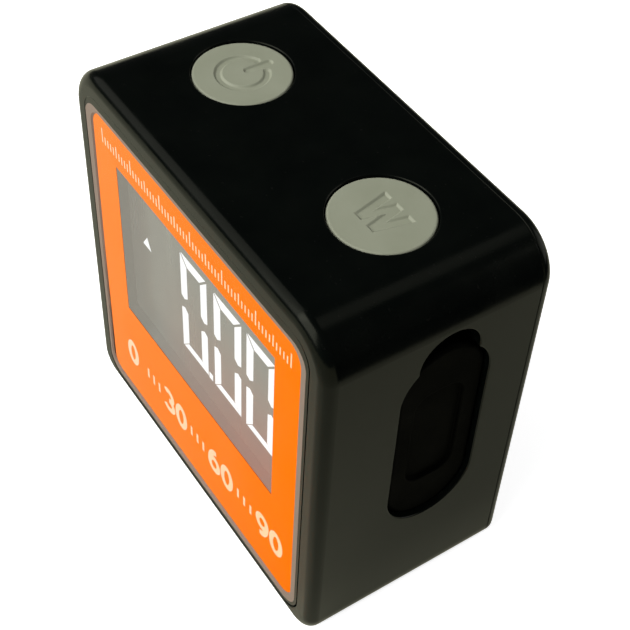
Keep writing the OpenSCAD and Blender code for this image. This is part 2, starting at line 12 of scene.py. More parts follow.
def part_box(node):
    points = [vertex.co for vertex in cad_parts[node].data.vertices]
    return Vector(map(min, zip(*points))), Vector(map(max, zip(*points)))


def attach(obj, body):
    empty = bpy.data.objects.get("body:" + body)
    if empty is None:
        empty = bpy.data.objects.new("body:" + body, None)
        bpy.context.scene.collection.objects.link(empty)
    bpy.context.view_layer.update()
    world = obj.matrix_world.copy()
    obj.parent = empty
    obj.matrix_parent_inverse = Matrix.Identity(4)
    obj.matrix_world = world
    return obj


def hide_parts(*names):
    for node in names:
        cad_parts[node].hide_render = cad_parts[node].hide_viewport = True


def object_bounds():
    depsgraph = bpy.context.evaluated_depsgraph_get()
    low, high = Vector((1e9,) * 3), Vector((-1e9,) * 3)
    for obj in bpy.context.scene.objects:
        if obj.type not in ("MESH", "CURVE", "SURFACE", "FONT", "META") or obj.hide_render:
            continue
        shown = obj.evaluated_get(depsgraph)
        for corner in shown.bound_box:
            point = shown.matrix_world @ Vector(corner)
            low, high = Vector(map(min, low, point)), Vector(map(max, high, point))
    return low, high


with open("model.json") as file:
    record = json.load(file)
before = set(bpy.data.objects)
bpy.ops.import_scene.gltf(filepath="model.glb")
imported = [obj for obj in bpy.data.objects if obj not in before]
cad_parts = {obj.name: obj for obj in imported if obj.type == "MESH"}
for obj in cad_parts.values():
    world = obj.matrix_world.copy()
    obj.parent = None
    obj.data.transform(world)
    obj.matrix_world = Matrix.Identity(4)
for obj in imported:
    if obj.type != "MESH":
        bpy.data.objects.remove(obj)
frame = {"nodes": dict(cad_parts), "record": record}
cad_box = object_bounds()
nodes = frame["nodes"]
MM = 0.001


# Places read from the frame, in millimetres

def corners(node):
    """Lowest and highest corner of a CAD node."""
    low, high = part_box(node)
    return np.array(low) / MM, np.array(high) / MM


def mesh_points(mesh):
    """All points of a mesh in metres, one row each."""
    flat = np.empty(len(mesh.vertices) * 3, np.float32)
    mesh.vertices.foreach_get("co", flat)
    return flat.reshape(-1, 3)


def set_mesh_points(mesh, points):
    """Puts changed points back into their mesh."""
    mesh.vertices.foreach_set("co", points.ravel())
    mesh.update()


def points_of(node):
    """All corner points of a CAD node, one row each."""
    return mesh_points(nodes[node].data).astype(float) / MM


# Meshes

def new_piece(name, points, faces, body, material, replaced=(), crease=35):
    """A mesh piece from points in millimetres and faces as index rows, smooth up to the crease angle."""
    mesh = bpy.data.meshes.new(name)
    mesh.from_pydata((points * MM).tolist(), [], faces)
    work = bmesh.new()
    work.from_mesh(mesh)
    bmesh.ops.recalc_face_normals(work, faces=work.faces)
    work.to_mesh(mesh)
    work.free()
    show(name, mesh, body, material, replaced, crease)


def show(name, mesh, body, material, replaced=(), crease=35):
    """Puts a finished mesh into the scene, riding on its body."""
    mesh.polygons.foreach_set("use_smooth", np.ones(len(mesh.polygons), bool))
    mesh.set_sharp_from_angle(angle=math.radians(crease))
    mesh.materials.clear()
    mesh.materials.append(material)
    obj = bpy.data.objects.new(name, mesh)
    bpy.context.scene.collection.objects.link(obj)
    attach(obj, body)
    if replaced:
        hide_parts(*replaced)
    return obj


def tube_faces(rings, around):
    """Quads between neighbouring rings of a tube: place j of a ring joins place j + 1, the last the first."""
    i, j = np.meshgrid(np.arange(rings - 1), np.arange(around), indexing="ij")
    k = (j + 1) % around
    quads = np.stack([i * around + j, i * around + k, (i + 1) * around + k, (i + 1) * around + j], -1)
    return quads.reshape(-1, 4).tolist()


def pole_faces(ring_start, around, pole):
    """Triangles that close a tube's end ring onto one pole point."""
    j = np.arange(around)
    return np.stack([ring_start + j, ring_start + (j + 1) % around, np.full(around, pole)], -1).tolist()


def box_outline(x0, x1, z0, z1):
    """A rectangle in x and z."""
    return np.array([[x0, z0], [x1, z0], [x1, z1], [x0, z1]])


def prism_set(outlines, y_front, y_back):
    """Points and faces of flat plates that face -Y: each outline in x and z at two depths, with its sides."""
    points, faces, start = [], [], 0
    for outline in outlines:
        n = len(outline)
        for y in (y_front, y_back):
            points.append(np.stack([outline[:, 0], np.full(n, y), outline[:, 1]], -1))
        j = np.arange(n)
        k = (j + 1) % n
        faces.append((start + j).tolist())
        faces.append((start + n + j[::-1]).tolist())
        faces += (start + np.stack([j, j + n, k + n, k], -1)).tolist()
        start += 2 * n
    return np.concatenate(points), faces


def refined(node, name, body, material, bevel, crease=30):
    """Merged copy of a CAD node: flat facets joined, sharp edges broken by a small bevel, normals evened."""
    merge, flat_angle, flat_weight = 2e-6, math.radians(0.6), 90
    mesh = nodes[node].data.copy()
    mesh.name = name
    work = bmesh.new()
    work.from_mesh(mesh)
    bmesh.ops.remove_doubles(work, verts=work.verts, dist=merge)
    bmesh.ops.dissolve_limit(work, angle_limit=flat_angle, verts=work.verts, edges=work.edges)
    work.to_mesh(mesh)
    work.free()
    obj = show(name, mesh, body, material, (node,), crease)
    if bevel:
        edge = obj.modifiers.new("broken edges", "BEVEL")
        edge.width = bevel * MM
        edge.segments = 2
        edge.limit_method = "ANGLE"
        edge.angle_limit = math.radians(crease)
        edge.use_clamp_overlap = False
        edge.miter_outer = "MITER_ARC"
    even = obj.modifiers.new("flat faces stay flat", "WEIGHTED_NORMAL")
    even.keep_sharp = True
    even.weight = flat_weight
    return obj


# Shader nodes

def add(tree, kind, inputs=None, **settings):
    """A shader node with its settings, and inputs given as values or as sockets to link."""
    n = tree.nodes.new(kind)
    for key, value in settings.items():
        setattr(n, key, value)
    for key, value in (inputs or {}).items():
        if isinstance(value, bpy.types.NodeSocket):
            tree.links.new(value, n.inputs[key])
        else:
            n.inputs[key].default_value = value
    return n


def math_node(tree, operation, a, b=None, clamp=False):
    """The result of one sum on two values or sockets."""
    inputs = {0: a}
    if b is not None:
        inputs[1] = b
    return add(tree, "ShaderNodeMath", inputs, operation=operation, use_clamp=clamp).outputs[0]


def spread(tree, value, low, high, to_low=0.0, to_high=1.0):
    """A value carried from one range to another, held at its ends."""
    inputs = {0: value, 1: low, 2: high, 3: to_low, 4: to_high}
    return add(tree, "ShaderNodeMapRange", inputs, clamp=True).outputs[0]


def blend(tree, share, a, b):
    """Colour a turning into colour b by a share from 0 to 1."""
    inputs = {0: share, 6: a, 7: b}
    return add(tree, "ShaderNodeMix", inputs, data_type="RGBA").outputs[2]


def new_group(name, inputs, outputs):
    """An empty node group with float inputs and outputs, and its two end nodes."""
    tree = bpy.data.node_groups.new(name, "ShaderNodeTree")
    for label, value in inputs.items():
        socket = tree.interface.new_socket(label, in_out="INPUT", socket_type="NodeSocketFloat")
        socket.default_value = value
    for label in outputs:
        tree.interface.new_socket(label, in_out="OUTPUT", socket_type="NodeSocketFloat")
    return tree, tree.nodes.new("NodeGroupInput"), tree.nodes.new("NodeGroupOutput")


def moulded_grain():
    """Fine grain for a bump, slow patches of tone and rare flecks, all from noise on object coordinates."""
    inputs = {"Size": 9000.0, "Patch": 250.0}
    tree, start, end = new_group("moulded grain", inputs, ("Height", "Tone", "Fleck"))
    place = add(tree, "ShaderNodeTexCoord").outputs["Object"]
    fine = add(tree, "ShaderNodeTexNoise", {"Vector": place, "Scale": start.outputs["Size"], "Detail": 2.0})
    slow = add(tree, "ShaderNodeTexNoise", {"Vector": place, "Scale": start.outputs["Patch"], "Detail": 3.0})
    coarse = math_node(tree, "MULTIPLY", start.outputs["Size"], 0.3)
    flecks = add(tree, "ShaderNodeTexNoise", {"Vector": place, "Scale": coarse, "Detail": 1.0})
    tree.links.new(fine.outputs[0], end.inputs["Height"])
    tree.links.new(spread(tree, slow.outputs[0], 0.32, 0.68), end.inputs["Tone"])
    tree.links.new(spread(tree, flecks.outputs[0], 0.72, 0.77), end.inputs["Fleck"])
    return tree


def rubbed_edge():
    """Mask of rubbed edges: how far a rounded normal turns away from the true one, broken up by noise."""
    tree, start, end = new_group("rubbed edge", {"Width": 0.0003}, ("Mask",))
    round_normal = add(tree, "ShaderNodeBevel", {"Radius": start.outputs["Width"]}, samples=6).outputs[0]
    true_normal = add(tree, "ShaderNodeNewGeometry").outputs["Normal"]
    same = add(tree, "ShaderNodeVectorMath", {0: round_normal, 1: true_normal}, operation="DOT_PRODUCT")
    turned = spread(tree, same.outputs["Value"], 0.99, 0.75)
    place = add(tree, "ShaderNodeTexCoord").outputs["Object"]
    broken = add(tree, "ShaderNodeTexNoise", {"Vector": place, "Scale": 900.0, "Detail": 4.0}).outputs[0]
    share = math_node(tree, "MULTIPLY", turned, spread(tree, broken, 0.38, 0.62))
    tree.links.new(share, end.inputs["Mask"])
    return tree


def drawn_lines():
    """Fine parallel lines as on drawn or ground metal: noise stretched a hundredfold along x."""
    tree, start, end = new_group("drawn lines", {"Size": 12000.0}, ("Height", "Tone"))
    place = add(tree, "ShaderNodeTexCoord").outputs["Object"]
    stretched = add(tree, "ShaderNodeMapping", {"Vector": place, "Scale": (0.01, 1.0, 1.0)}).outputs[0]
    size = start.outputs["Size"]
    line = add(tree, "ShaderNodeTexNoise", {"Vector": stretched, "Scale": size, "Detail": 3.0})
    slow = add(tree, "ShaderNodeTexNoise", {"Vector": place, "Scale": 400.0, "Detail": 2.0})
    tree.links.new(line.outputs[0], end.inputs["Height"])
    tree.links.new(spread(tree, slow.outputs[0], 0.3, 0.7), end.inputs["Tone"])
    return tree


GRAIN = moulded_grain()
RUB = rubbed_edge()
LINES = drawn_lines()


RUB_WIDTH = 0.00025


def use_group(tree, group, **values):
    """A placed node group with its input values."""
    n = tree.nodes.new("ShaderNodeGroup")
    n.node_tree = group
    for key, value in values.items():
        n.inputs[key].default_value = value
    return n


def new_finish(name, **sockets):
    """An empty material with a Principled shader whose plain sockets are set, and its tree."""
    material = bpy.data.materials.new(name)
    material.use_nodes = True
    tree = material.node_tree
    shader = tree.nodes["Principled BSDF"]
    for key, value in sockets.items():
        shader.inputs[key.replace("_", " ")].default_value = value
    return material, tree, shader


def colour(r, g, b):
    """A colour given as shares of light, with full alpha."""
    return (r, g, b, 1.0)


def add_relief(tree, shader, height, strength):
    """A fine bump on a shader's normal."""
    relief = add(tree, "ShaderNodeBump", {"Height": height, "Strength": strength, "Distance": 0.0001})
    tree.links.new(relief.outputs[0], shader.inputs["Normal"])


def moulded(name, base, other, rough, size=9000.0, patch=250.0, bump=0.04, rub=0.0, worn=None, fleck=None,
            **sockets):
    """Moulded finish: two close tones in patches, grain in the bump and roughness, rubbed edges, flecks."""
    material, tree, shader = new_finish(name, **sockets)
    grain = use_group(tree, GRAIN, Size=size, Patch=patch)
    tone = blend(tree, grain.outputs["Tone"], base, other)
    if fleck:
        tone = blend(tree, math_node(tree, "MULTIPLY", grain.outputs["Fleck"], 0.5), tone, fleck)
    if rub:
        mask = use_group(tree, RUB, Width=RUB_WIDTH).outputs["Mask"]
        tone = blend(tree, math_node(tree, "MULTIPLY", mask, rub), tone, worn)
    tree.links.new(tone, shader.inputs["Base Color"])
    mixed = math_node(tree, "ADD", math_node(tree, "MULTIPLY", grain.outputs["Tone"], 0.6),
                      math_node(tree, "MULTIPLY", grain.outputs["Height"], 0.4))
    tree.links.new(spread(tree, mixed, 0.2, 0.8, *rough), shader.inputs["Roughness"])
    add_relief(tree, shader, grain.outputs["Height"], bump)
    return material


def metal(name, base, other, rough, size=12000.0, bump=0.05, **sockets):
    """Drawn or ground metal: fine lines in the bump and roughness over two close tones."""
    material, tree, shader = new_finish(name, Metallic=1.0, **sockets)
    lines = use_group(tree, LINES, Size=size)
    tree.links.new(blend(tree, lines.outputs["Tone"], base, other), shader.inputs["Base Color"])
    tree.links.new(spread(tree, lines.outputs["Height"], 0.25, 0.75, *rough), shader.inputs["Roughness"])
    add_relief(tree, shader, lines.outputs["Height"], bump)
    return material


def striped(name, base, other, pitch, rough=0.6):
    """Even stripes along x: a wave of the given pitch in millimetres turns one tone into the other."""
    material, tree, shader = new_finish(name, Roughness=rough)
    place = add(tree, "ShaderNodeTexCoord").outputs["Object"]
    scale = math.pi / (10 * pitch * MM)
    wave = add(tree, "ShaderNodeTexWave", {"Vector": place, "Scale": scale}).outputs["Fac"]
    tree.links.new(blend(tree, spread(tree, wave, 0.4, 0.6), base, other), shader.inputs["Base Color"])
    return material


def board_resist():
    """Green resist over copper: a lattice of track edges, round pads at random places and a fine grain."""
    material, tree, shader = new_finish("board resist", Specular_IOR_Level=0.4)
    place = add(tree, "ShaderNodeTexCoord").outputs["Object"]
    lattice = {"Vector": place, "Scale": 260.0, "Mortar Size": 0.03, "Mortar Smooth": 0.1}
    tracks = add(tree, "ShaderNodeTexBrick", lattice).outputs["Fac"]
    pads = add(tree, "ShaderNodeTexVoronoi", {"Vector": place, "Scale": 330.0}).outputs["Distance"]
    grain = use_group(tree, GRAIN, Size=7000.0, Patch=300.0)
    green = blend(tree, grain.outputs["Tone"], colour(0.012, 0.11, 0.045), colour(0.018, 0.15, 0.06))
    tracked = blend(tree, math_node(tree, "MULTIPLY", tracks, 0.5), green, colour(0.05, 0.25, 0.1))
    padded = blend(tree, spread(tree, pads, 0.16, 0.13), tracked, colour(0.6, 0.5, 0.28))
    tree.links.new(padded, shader.inputs["Base Color"])
    tree.links.new(spread(tree, grain.outputs["Height"], 0.2, 0.8, 0.3, 0.5), shader.inputs["Roughness"])
    return material


def orange_print(name, left, right):
    """Printed film with a faint ink mottle; the orange is paler at the left and deeper at the right, which is
    painted light on the left side.
    """
    material, tree, shader = new_finish(name, Specular_IOR_Level=0.0)
    place = add(tree, "ShaderNodeTexCoord").outputs["Object"]
    x = add(tree, "ShaderNodeSeparateXYZ", {0: place}).outputs[0]
    grain = use_group(tree, GRAIN, Size=14000.0, Patch=160.0)
    # Painted light: the ink turns from the paler, lit left colour to the deeper right one across the face.
    across = spread(tree, x, -17 * MM, 17 * MM)
    mottle = math_node(tree, "MULTIPLY", math_node(tree, "SUBTRACT", grain.outputs["Tone"], 0.5), 0.12)
    ink = blend(tree, math_node(tree, "ADD", across, mottle, True), left, right)
    tree.links.new(ink, shader.inputs["Base Color"])
    tree.links.new(spread(tree, grain.outputs["Height"], 0.2, 0.8, 0.28, 0.4), shader.inputs["Roughness"])
    return material


def display_glass():
    """Backlit display ground; it takes its colour almost wholly from its glow, so no shade from the window's
    edges falls on it, which is painted light in part. Cool grey at the left, warm at the lower right, with
    faint upright streaks.
    """
    # Painted light in part: the glow carries the whole colour and keeps the window edges' shade off the
    # ground.
    material, tree, shader = new_finish("display glass", Specular_IOR_Level=0.05, Emission_Strength=0.95)
    shader.inputs["Base Color"].default_value = colour(0.015, 0.015, 0.015)
    place = add(tree, "ShaderNodeTexCoord").outputs["Object"]
    split = add(tree, "ShaderNodeSeparateXYZ", {0: place})
    x, z = split.outputs[0], split.outputs[2]
    stretched = add(tree, "ShaderNodeMapping", {"Vector": place, "Scale": (1.0, 1.0, 0.08)}).outputs[0]
    streak = add(tree, "ShaderNodeTexNoise", {"Vector": stretched, "Scale": 500.0, "Detail": 3.0}).outputs[0]
    inward = spread(tree, x, -10.2 * MM, -8.4 * MM)
    cool = blend(tree, inward, colour(0.285, 0.272, 0.23), colour(0.31, 0.303, 0.26))
    right = spread(tree, x, -9 * MM, 10 * MM)
    low = spread(tree, z, 27 * MM, 13 * MM)
    warmed = blend(tree, math_node(tree, "MULTIPLY", right, low), cool, colour(0.44, 0.225, 0.17))
    shade = math_node(tree, "MULTIPLY", spread(tree, streak, 0.3, 0.7), 0.2)
    tree.links.new(blend(tree, shade, warmed, colour(0.25, 0.24, 0.21)), shader.inputs["Emission Color"])
    tree.links.new(spread(tree, streak, 0.3, 0.7, 0.25, 0.35), shader.inputs["Roughness"])
    return material


def lit_segment():
    """Lit display segments: even white light, with faint patches of a slightly lower level."""
    material, tree, shader = new_finish("lit segment", Emission_Strength=1.0, Roughness=0.4)
    shader.inputs["Base Color"].default_value = colour(0.05, 0.05, 0.05)
    grain = use_group(tree, GRAIN, Size=5000.0, Patch=400.0)
    glow = blend(tree, grain.outputs["Tone"], colour(0.88, 0.89, 0.9), colour(0.95, 0.95, 0.95))
    tree.links.new(glow, shader.inputs["Emission Color"])
    return material


def clear_film():
    """Clear lens film: nearly all see-through, with faint hairline scratches that show a little more."""
    material, tree, shader = new_finish("clear film", Roughness=0.15, Specular_IOR_Level=0.1)
    shader.inputs["Base Color"].default_value = colour(0.2, 0.15, 0.12)
    lines = use_group(tree, LINES, Size=2500.0)
    tree.links.new(spread(tree, lines.outputs["Height"], 0.62, 0.8, 0.012, 0.03), shader.inputs["Alpha"])
    return material


OLIVE = colour(0.98, 1.0, 0.78)
CASE = moulded("satin black moulding", colour(0.0014, 0.0021, 0.0018), colour(0.0022, 0.003, 0.0025),
               (0.17, 0.25), rub=0.2, worn=colour(0.03, 0.03, 0.026), fleck=colour(0.008, 0.008, 0.007),
               Specular_IOR_Level=0.09, Specular_Tint=OLIVE)
RUBBER = moulded("black rubber", colour(0.0006, 0.0006, 0.0005), colour(0.0014, 0.0014, 0.0011), (0.5, 0.68),
                 size=6000.0, bump=0.12, rub=0.3, worn=colour(0.012, 0.012, 0.01),
                 Specular_IOR_Level=0.01, Specular_Tint=OLIVE)
BUTTON = moulded("grey button", colour(0.285, 0.3, 0.218), colour(0.31, 0.325, 0.24), (0.5, 0.62),
                 size=7000.0, bump=0.05, rub=0.5, worn=colour(0.42, 0.42, 0.34), Specular_IOR_Level=0.25)
# The first colour of each is the paler left side: painted light, not a change in the ink.
PRINT = orange_print("orange print", colour(0.9, 0.228, 0.046), colour(0.9, 0.168, 0.001))
MARK = orange_print("pale mark ink", colour(0.92, 0.62, 0.42), colour(0.92, 0.58, 0.34))
TAPE = moulded("grey tape", colour(0.195, 0.14, 0.108), colour(0.225, 0.162, 0.125), (0.5, 0.7),
               size=5000.0, bump=0.1)
DISPLAY = display_glass()
SEGMENT = lit_segment()
FILM = clear_film()
SLOT_FINISH = {
    "case_plastic": CASE,
    "cover_rubber": RUBBER,
    "button": BUTTON,
    "face_print": PRINT,
    "grey_tape": TAPE,
    "display": DISPLAY,
    "lens": FILM,
    "white_plastic": moulded("white moulding", colour(0.74, 0.74, 0.7), colour(0.8, 0.8, 0.77), (0.35, 0.5)),
    "contact_rubber": striped("striped contact rubber", colour(0.7, 0.42, 0.45), colour(0.1, 0.08, 0.08),
                              0.1),
    "circuit_board": board_resist(),
    "chip": moulded("black epoxy", colour(0.014, 0.014, 0.015), colour(0.022, 0.022, 0.024), (0.45, 0.65),
                    bump=0.1),
    "steel": metal("plain steel", colour(0.56, 0.56, 0.57), colour(0.66, 0.66, 0.66), (0.22, 0.4)),
    "dark_steel": metal("blackened steel", colour(0.05, 0.05, 0.055), colour(0.09, 0.09, 0.09), (0.3, 0.5)),
    "magnet_plating": metal("nickel plating", colour(0.6, 0.57, 0.52), colour(0.68, 0.65, 0.6), (0.12, 0.26)),
    "cell_foil": moulded("matt foil", colour(0.52, 0.53, 0.56), colour(0.64, 0.65, 0.67), (0.3, 0.45),
                         patch=500.0, bump=0.15, Metallic=0.85),
    "pale_tape": striped("woven tape", colour(0.74, 0.7, 0.56), colour(0.82, 0.78, 0.65), 0.25),
    "lead_sleeve": moulded("lead sleeve", colour(0.3, 0.012, 0.01), colour(0.38, 0.02, 0.015), (0.35, 0.5)),
}

for part in frame["record"]["subparts"]:
    for place in nodes[part["node"]].material_slots:
        place.material = SLOT_FINISH[part["material_slot"]]


# Case, cover and film: merged copies with broken edges

EDGE = 0.1
THIN_EDGE = 0.04
RUBBER_EDGE = 0.12
HAIR = 0.02
refined("front_case", "case_shell", "case", CASE, EDGE)
refined("rear_cover", "back_shell", "case", CASE, THIN_EDGE)
refined("port_cover", "port_plug", "port_flap", RUBBER, RUBBER_EDGE)


def film_piece():
    """The lens film, its back face set a hair in front of the print."""
    low, high = corners("front_lens")
    mesh = refined("front_lens", "lens_film", "case", FILM, 0.0).data
    place = mesh_points(mesh)
    at_back = place[:, 1] > (low[1] + high[1]) / 2 * MM
    place[:, 1] = np.where(at_back, (high[1] - HAIR) * MM, place[:, 1])
    set_mesh_points(mesh, place)


film_piece()


# Face: print, a ring glowing in the display's colour behind its window (painted light over shade), a grey
# margin on the lens and the rim outside it

WINDOW_UNDERCUT = 0.25
PRINT_FRAME = 2.0
TOUCH_GAP = 0.005
# The ring behind the window that glows in the display's colour: painted light over a shaded gap.
GLOW_RING_INSET = 0.1
GLOW_RING_LAP = 0.03
MARGIN_PROUD = 0.015
MARGIN_SLANT = 0.14
MARGIN_LEAN = 0.017
MARGIN_TOP = 36.75
MARGIN_OPENING = (-16.94, 16.76, 2.2, 36.6)
MARGIN_OUT = (-0.2, -0.36, 0.3, -0.7)
RIM_OUT = (-0.22, 0.0, 0.0, 0.1)


def rounded_loop(x0, x1, z0, z1, r):
    """A rounded rectangle in x and z: four quarter arcs of radius r joined by straight sides."""
    t = np.linspace(0, math.pi / 2, 13)
    spots = ((x1 - r, z1 - r, 0), (x0 + r, z1 - r, 1), (x0 + r, z0 + r, 2), (x1 - r, z0 + r, 3))
    arcs = [np.stack([cx + r * np.cos(t + q * math.pi / 2), cz + r * np.sin(t + q * math.pi / 2)], -1)
            for cx, cz, q in spots]
    return np.concatenate(arcs)


def loop_round(low, high, offsets, r):
    """A rounded rectangle round a box: its left, right, base and top side are each moved by an offset."""
    left, right, base, top = offsets
    return rounded_loop(low[0] + left, high[0] + right, low[2] + base, high[2] + top, r)


def ring_plate(name, outer, inner, y_front, y_back, material, undercut=0.0):
    """A flat plate with an opening: the section between two loops carried round, its inner wall aslant."""
    n = len(outer)
    middle = (inner.min(0) + inner.max(0)) / 2
    inner_back = inner + np.sign(inner - middle) * undercut
    loops = ((outer, y_front), (inner, y_front), (inner_back, y_back), (outer, y_back))
    points = np.concatenate([np.stack([loop[:, 0], np.full(n, depth), loop[:, 1]], -1)
                             for loop, depth in loops])
    faces = np.array(tube_faces(len(loops) + 1, n)) % (len(loops) * n)
    new_piece(name, points, faces.tolist(), "case", material)


def leaned(loop, lean, z_top):
    """A loop whose left side leans outwards towards the base by a share of the depth below its top."""
    out = loop.copy()
    out[:, 0] -= np.where(out[:, 0] < 0, lean * (z_top - out[:, 1]), 0)
    return out


def print_piece():
    """The printed sheet at its CAD outline; only its window's back edge is cut wider, to hide the cut wall.
    Gives the window's lowest and highest corner."""
    low, high = corners("face_print")
    at = points_of("face_print")
    across, up = np.abs(at[:, 0]), at[:, 2]
    inside = at[(across < high[0] - PRINT_FRAME) & (up > low[2] + PRINT_FRAME) & (up < high[2] - PRINT_FRAME)]
    window_low, window_high = inside.min(0), inside.max(0)
    mesh = refined("face_print", "print_sheet", "case", PRINT, 0.0).data
    place = mesh_points(mesh)
    flat, near = place[:, (0, 2)], 0.1
    above = flat > (window_low[[0, 2]] - near) * MM
    below = flat < (window_high[[0, 2]] + near) * MM
    moved = np.all(above & below, 1) & (place[:, 1] > (low[1] + high[1]) / 2 * MM)
    centre = (window_low + window_high) / 2 * MM
    for axis in (0, 2):
        place[:, axis] += np.where(moved, np.sign(place[:, axis] - centre[axis]) * WINDOW_UNDERCUT * MM, 0)
    set_mesh_points(mesh, place)
    return window_low, window_high


def face_pieces():
    """The print, a ring behind its window that glows in the display's colour, painted light where the gap
    there lies in shade, a grey margin on the lens over the print's edge and a black rim outside that."""
    low, high = corners("front_lens")
    print_low, print_high = corners("face_print")
    glass_low, glass_high = corners("lcd_glass")
    window_low, window_high = print_piece()
    inset, reach = GLOW_RING_INSET, WINDOW_UNDERCUT + GLOW_RING_LAP
    around = loop_round(glass_low, glass_high, (inset, -inset, inset, -inset), 0.3)
    behind = loop_round(window_low, window_high, (-reach, reach, -reach, reach), 0.05)
    y_front, y_back = print_high[1] + TOUCH_GAP, glass_low[1] - TOUCH_GAP
    # Painted light: a ring in the glowing display colour fills the shaded gap between print and glass.
    ring_plate("glowing_ring_over_shade", around, behind, y_front, y_back, DISPLAY)
    # A grey band in the tape's colour over the print's edge, its inner edge leaning out towards the base at
    # the left.
    y_front, y_back = low[1] - MARGIN_PROUD, print_low[1] - TOUCH_GAP
    edge = loop_round(low, high, MARGIN_OUT, 2.0)
    inner = leaned(rounded_loop(*MARGIN_OPENING, 1.75), MARGIN_LEAN, MARGIN_TOP)
    ring_plate("lens_margin", edge, inner, y_front, y_back, TAPE, -MARGIN_SLANT)
    rim = loop_round(low, high, RIM_OUT, 2.3)
    ring_plate("lens_rim", rim, edge, y_front, y_back, CASE)


face_pieces()


# Buttons

SIGN_DEPTH = 0.16
SIGN_WALL = 0.24


def power_sign(x, y):
    """Distance outside the power sign: a ring open at the back, and a bar through the opening."""
    ring_r, stroke, gap = 2.12, 0.56, math.radians(24)
    bar_x, bar_y, half_w, half_l = -0.1, 1.65, 0.02, 1.1
    rho = np.hypot(x, y)
    from_back = np.abs(np.arctan2(x, y))
    past_end = np.hypot(rho - ring_r, rho * (gap - from_back))
    ring = np.where(from_back > gap, np.abs(rho - ring_r), past_end) - stroke / 2
    aside, along = np.abs(x - bar_x) - half_w, np.abs(y - bar_y) - half_l
    bar = np.hypot(np.maximum(aside, 0), np.maximum(along, 0)) - stroke / 2
    return np.minimum(ring, bar)


def mode_sign(x, y):
    """Distance outside the mode letter: four straight strokes between two lines, wider apart at the back."""
    half_h, stroke = 1.68, 0.74
    feet = np.array([-0.82, 0.8])
    heads = np.array([-1.58, -0.02, 1.56])
    strokes = ((heads[0], feet[0]), (heads[1], feet[0]), (heads[1], feet[1]), (heads[2], feet[1]))
    far = 9.0
    best = np.full(x.shape, far)
    for head, foot in strokes:
        run = np.hypot(head - foot, 2 * half_h)
        off = np.abs((x - (head + foot) / 2) * 2 * half_h - y * (head - foot)) / run
        best = np.minimum(best, np.maximum(off - stroke / 2, np.abs(y) - half_h))
    return best


def button_piece(node, name, body, sign):
    """A turned button: its half section carried round the axis, the face sunk in the sign by a soft step."""
    around, face_rings = 320, 150
    first_r, near, cap_depth, chamfer = 0.02, 0.01, 0.6, 0.08
    low, high = corners(node)
    axis = (low[:2] + high[:2]) / 2
    at = points_of(node)
    radius, height = np.hypot(*(at[:, :2] - axis).T), at[:, 2]
    top, base = high[2], low[2]
    cap_r = radius[height > top - cap_depth].max()
    rim = top - height[np.abs(radius - cap_r) < near].max()
    flange_r = radius.max()
    flange = height[radius > flange_r - near]
    upper, lower = flange.max(), flange.min()
    stem_r = radius[height < base + near].max()
    turn = np.linspace(0, math.pi / 2, 7)[1:]
    r = np.concatenate([np.linspace(first_r, cap_r - rim, face_rings), cap_r - rim + rim * np.sin(turn),
                        [cap_r, flange_r - chamfer, flange_r, flange_r, stem_r, stem_r]])
    z = np.concatenate([np.full(face_rings, top), top - rim + rim * np.cos(turn),
                        [upper, upper, upper - chamfer, lower, lower, base]])
    angle = np.arange(around) * 2 * math.pi / around
    x, y = r[:, None] * np.cos(angle), r[:, None] * np.sin(angle)
    z = np.repeat(z[:, None], around, 1)
    step = np.clip(0.5 - sign(x[:face_rings], y[:face_rings]) / SIGN_WALL, 0, 1)
    z[:face_rings] -= SIGN_DEPTH * step * step * (3 - 2 * step)
    points = np.stack([x + axis[0], y + axis[1], z], -1).reshape(-1, 3)
    poles = np.array([[*axis, z[0].mean()], [*axis, base]])
    rings = len(r)
    faces = tube_faces(rings, around) + pole_faces(0, around, rings * around)
    faces += pole_faces((rings - 1) * around, around, rings * around + 1)
    new_piece(name, np.concatenate([points, poles]), faces, body, BUTTON, (node,), 50)


button_piece("power_button", "power_cap", "power_key", power_sign)
button_piece("mode_button", "mode_cap", "mode_key", mode_sign)


# Display: three digits, a point and a level mark

DIGIT_LEFT = (-3.88, 1.76, 7.08)
DIGIT_W = 4.45
DIGIT_Z = (17.05, 29.2)
STROKE = 1.05
LOW_STROKE = 0.8
LOW_LIFT = 0.2
MITRE = 0.16
POINT_BOX = (0.75, 1.35, 17.15, 17.9)
LEVEL_MARK = ((-10.85, 24.4), (-9.4, 24.4), (-10.05, 25.65))
LIT_FRONT = 0.03
LIT_BACK = 0.005


def zero_segments(left):
    """Six lit strokes of a seven-stroke zero: mitred bars above and below, pointed uprights at the sides."""
    right, (base, top) = left + DIGIT_W, DIGIT_Z
    middle, s, g, low, rise = (base + top) / 2, STROKE, MITRE, LOW_STROKE, base + LOW_LIFT
    inner, tip, outer = 0.95, 0.55, 0.8
    upper = np.array([[left + g, top], [right - g, top], [right - g - s, top - s], [left + g + s, top - s]])
    lower = np.array([[left + g, rise], [left + g + low, rise + low],
                      [right - g - low, rise + low], [right - g, rise]])
    upright = np.array([[left, top - g], [left + s, top - g - s], [left + s, middle + inner],
                        [left + 0.5 * s, middle + tip], [left, middle + outer]])

    def flip_x(shape):
        """The shape mirrored left to right."""
        return np.stack([left + right - shape[:, 0], shape[:, 1]], -1)[::-1]

    def flip_z(shape):
        """The shape mirrored top to base."""
        return np.stack([shape[:, 0], base + top - shape[:, 1]], -1)[::-1]

    return [upper, lower, upright, flip_x(upright), flip_z(upright), flip_x(flip_z(upright))]


def display_pieces():
    """Lit strokes as thin plates in front of the display glass."""
    front = corners("lcd_glass")[0][1]
    outlines = [shape for left in DIGIT_LEFT for shape in zero_segments(left)]
    outlines += [box_outline(*POINT_BOX), np.array(LEVEL_MARK)]
    points, faces = prism_set(outlines, front - LIT_FRONT, front - LIT_BACK)
    new_piece("lit_digits", points, faces, "case", SEGMENT)


display_pieces()


# Printed marks on the face: a fine scale above the window, plain numbers below it

MARK_T = 0.012
MARK_LIFT = 0.001
MARK_STAGGER = 0.004
NUMBER_PITCH = 8.5


